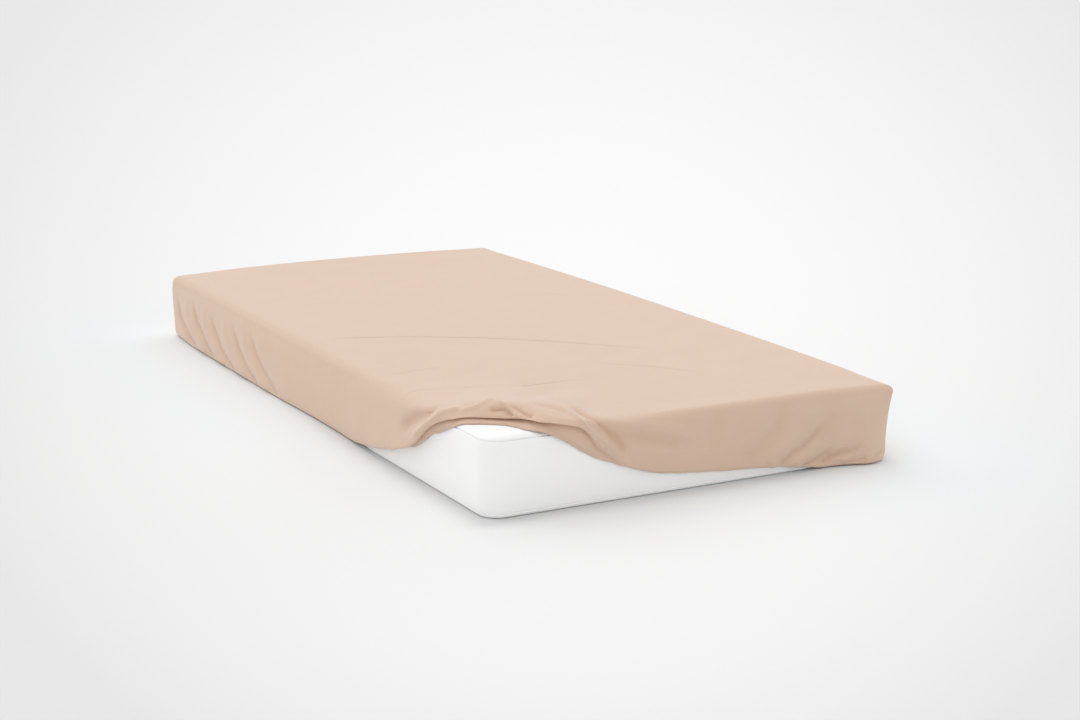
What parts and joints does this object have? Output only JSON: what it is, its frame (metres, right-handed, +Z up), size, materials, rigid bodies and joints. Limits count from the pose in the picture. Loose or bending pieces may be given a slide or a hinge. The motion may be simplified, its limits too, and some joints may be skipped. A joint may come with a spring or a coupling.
{
  "type": "fitted sheet on a mattress",
  "caption": "Fitted sheet stretched over a plain low mattress, with one corner of its elastic hem slipped up over the top edge.",
  "frame": {"origin": "middle of the mattress's base, on the surface that it lies on", "axes": "+X along the short side and +Y along the long side, so that the slipped corner is at -X, -Y; +Z up"},
  "size_m": [1.0373, 2.0389, 0.2059],
  "materials": {
    "sheet_cloth": "matt pale peach beige plain-woven cotton",
    "mattress_cover": "matt smooth white cover cloth"
  },
  "bodies": {
    "root": {"fitted_sheet": "sheet_cloth", "mattress": "mattress_cover"}
  },
  "joints": []
}
